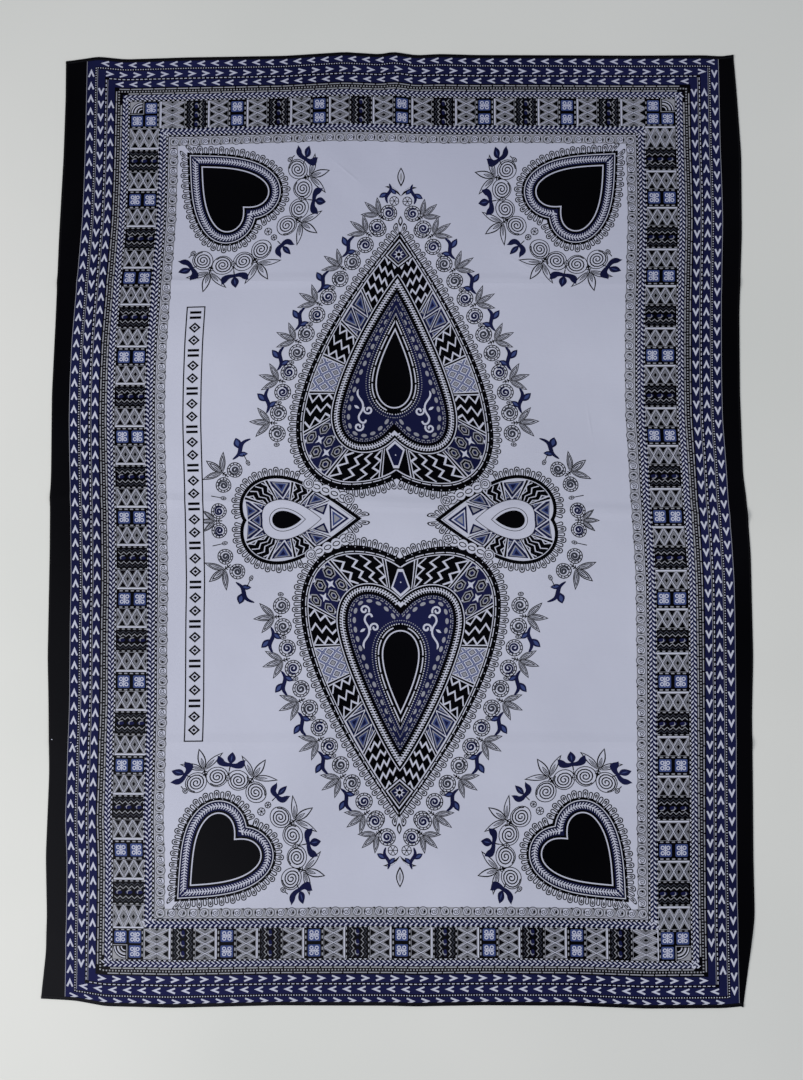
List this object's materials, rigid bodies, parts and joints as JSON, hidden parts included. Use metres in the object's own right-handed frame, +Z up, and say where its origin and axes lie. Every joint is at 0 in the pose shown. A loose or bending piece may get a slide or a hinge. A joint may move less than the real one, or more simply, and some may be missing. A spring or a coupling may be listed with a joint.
{
  "type": "kanga wrap cloth",
  "caption": "Flat oblong cotton wrap cloth, laid face up, with a printed border, corner hearts and a medallion of teardrops in navy, black and lilac.",
  "frame": {"origin": "middle of the laid cloth's box, at the surface that it rests on", "axes": "+X across the cloth, +Y along it towards its upper cut end, +Z up out of the printed face"},
  "size_m": [1.1018, 1.513, 0.0051],
  "materials": {
    "printed_cotton": "plain-weave cotton, lilac ground printed in black, navy and blue, matt with a faint starch sheen",
    "selvedge": "dense black woven edge, matt",
    "hem": "black cotton turned under twice and stitched, matt"
  },
  "bodies": {
    "root": {"cloth_panel": "printed_cotton", "selvedge_left": "selvedge", "selvedge_right": "selvedge", "hem_top": "hem", "hem_bottom": "hem"}
  },
  "joints": []
}
